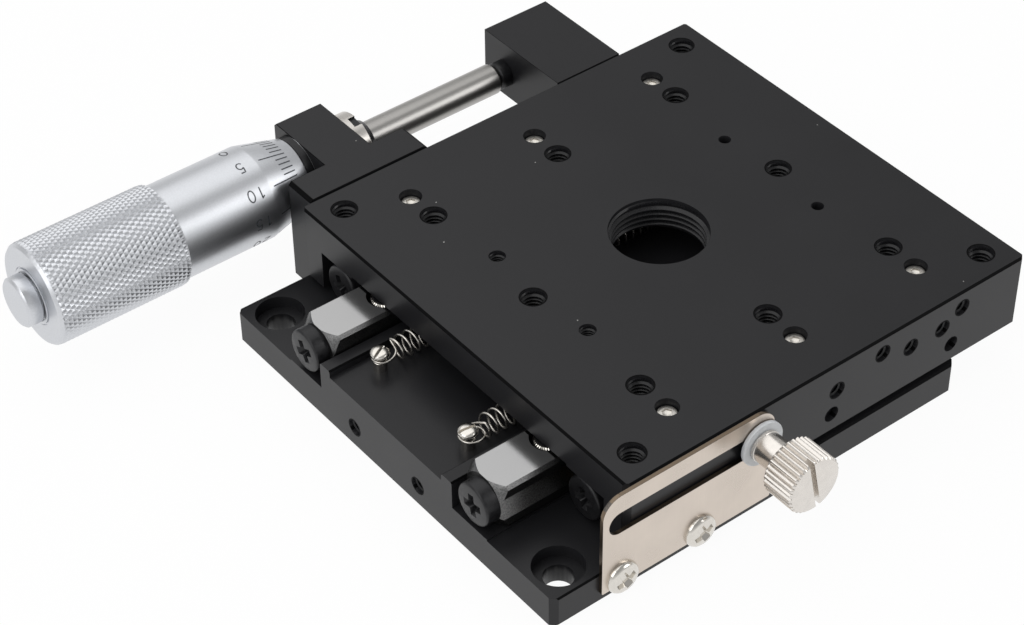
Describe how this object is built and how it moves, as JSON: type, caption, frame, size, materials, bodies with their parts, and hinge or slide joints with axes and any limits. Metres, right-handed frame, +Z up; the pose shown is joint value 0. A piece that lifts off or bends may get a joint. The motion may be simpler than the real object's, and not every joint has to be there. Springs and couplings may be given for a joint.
{
  "type": "linear stage",
  "caption": "Manual linear stage: a square table slides on crossed rollers, moved by a micrometer head at its side and locked by a thumb screw.",
  "frame": {"origin": "centre of the base plate's underside, which is the middle of its four mounting holes", "axes": "+X is the way the table travels away from the micrometer's thimble, +Y is towards the micrometer, +Z is up"},
  "size_m": [0.186, 0.1729, 0.0341],
  "materials": {
    "anodised_plate": "black anodised aluminium, fine satin",
    "ground_rail": "ground steel",
    "bright_steel": "bright plated steel",
    "spring_wire": "drawn stainless wire",
    "black_steel": "black oxide steel",
    "satin_chrome": "satin chrome plated steel",
    "polished_spindle": "hardened and polished steel",
    "nickel_plate": "nickel plated sheet steel, satin",
    "turned_nickel": "turned and nickel plated steel",
    "white_washer": "white nylon",
    "brass_cage": "stamped brass"
  },
  "bodies": {
    "root": {"base_plate": "anodised_plate", "inner_rail_front": "ground_rail", "inner_rail_rear": "ground_rail", "inner_rail_screws": "bright_steel", "inner_rail_end_screws": "black_steel", "base_spring_posts": "bright_steel", "micrometer_bracket": "anodised_plate", "bracket_screws": "black_steel", "micrometer_sleeve": "satin_chrome", "clamp_nut": "bright_steel", "lock_plate": "nickel_plate", "lock_plate_screws": "bright_steel", "spring_front": "spring_wire", "spring_rear": "spring_wire"},
    "table": {"table_plate": "anodised_plate", "outer_rail_front": "ground_rail", "outer_rail_rear": "ground_rail", "outer_rail_screws": "bright_steel", "outer_rail_end_screws": "black_steel", "preload_set_screws": "black_steel", "table_spring_posts": "bright_steel", "anvil_block": "anodised_plate", "anvil_pin": "black_steel", "anvil_block_screws": "black_steel"},
    "cage_front": {"roller_cage_front": "brass_cage", "rollers_front": "polished_spindle"},
    "cage_rear": {"roller_cage_rear": "brass_cage", "rollers_rear": "polished_spindle"},
    "spindle": {"spindle": "polished_spindle"},
    "thimble": {"thimble": "satin_chrome", "thimble_end_cap": "satin_chrome", "thimble_knob": "satin_chrome"},
    "lock_screw": {"lock_screw": "turned_nickel", "lock_washer": "white_washer"}
  },
  "joints": [
    {"name": "table_slide", "type": "slide", "parent": "root", "child": "table", "axis": [1, 0, 0], "range_m": [-0.04, 0], "deforming": ["spring_front", "spring_rear"]},
    {"name": "cage_front_slide", "type": "slide", "parent": "root", "child": "cage_front", "axis": [1, 0, 0], "range_m": [-0.02, 0]},
    {"name": "cage_rear_slide", "type": "slide", "parent": "root", "child": "cage_rear", "axis": [1, 0, 0], "range_m": [-0.02, 0]},
    {"name": "spindle_slide", "type": "slide", "parent": "root", "child": "spindle", "axis": [1, 0, 0], "range_m": [-0.04, 0]},
    {"name": "thimble_turn", "type": "hinge", "parent": "spindle", "child": "thimble", "pos_m": [-0.06, 0.0812, 0.021], "axis": [1, 0, 0], "range_deg": [-28800, 0]},
    {"name": "lock_screw_turn", "type": "hinge", "parent": "table", "child": "lock_screw", "pos_m": [-0.0032, -0.07, 0.022], "axis": [0, -1, 0], "range_deg": [0, 270]}
  ],
  "couplings": [
    {"joint": "cage_front_slide", "follows": "table_slide", "ratio": 0.5},
    {"joint": "cage_rear_slide", "follows": "table_slide", "ratio": 0.5},
    {"joint": "spindle_slide", "follows": "table_slide", "ratio": 1},
    {"joint": "thimble_turn", "follows": "table_slide", "rad_per_m": 12566}
  ]
}
